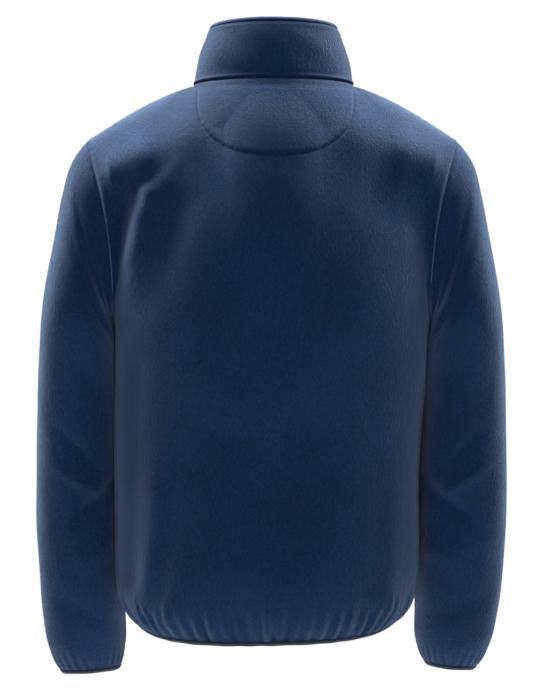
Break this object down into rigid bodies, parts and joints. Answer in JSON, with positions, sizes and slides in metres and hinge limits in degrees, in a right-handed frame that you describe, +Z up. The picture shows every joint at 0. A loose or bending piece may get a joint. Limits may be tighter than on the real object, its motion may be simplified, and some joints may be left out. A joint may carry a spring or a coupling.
{
  "type": "fleece zip jacket",
  "caption": "Worn-form fleece jacket with a stand collar, set-in sleeves, a full front zip and elastic-bound hem and cuffs, hollow inside and open at neck, hem and cuffs.",
  "frame": {"origin": "the base of the neck between the shoulders, where the wearer's shoulders carry the jacket", "axes": "+Z up the wearer's back, -Y out of the front with its zip, +X towards the wearer's left sleeve"},
  "size_m": [0.5979, 0.2793, 0.8225],
  "materials": {
    "fleece": "brushed microfleece, matt navy with a short soft nap that turns paler at grazing angles",
    "elastic": "knitted charcoal elastic binding, matt",
    "zip_tape": "fine woven navy tape",
    "zip_teeth": "navy nylon coil, semi-matt",
    "zip_metal": "dark painted metal, satin"
  },
  "bodies": {
    "jacket": {"back_panel": "fleece", "half_moon_patch": "fleece", "front_left": "fleece", "front_right": "fleece", "sleeve_left": "fleece", "sleeve_right": "fleece", "collar": "fleece", "collar_facing": "fleece", "hem_binding": "elastic", "cuff_binding_left": "elastic", "cuff_binding_right": "elastic", "zip_tape_left": "zip_tape", "zip_tape_right": "zip_tape", "zip_chain": "zip_teeth", "zip_box": "zip_metal", "zip_stop_left": "zip_metal", "zip_stop_right": "zip_metal", "zip_slider": "zip_metal"},
    "zip_pull": {"zip_pull_tab": "zip_metal"}
  },
  "joints": [
    {"name": "zip_pull_swing", "type": "hinge", "parent": "jacket", "child": "zip_pull", "pos_m": [-0.002, -0.09593, 0.00836], "axis": [-1, 0, 0], "range_deg": [-5, 160]}
  ]
}
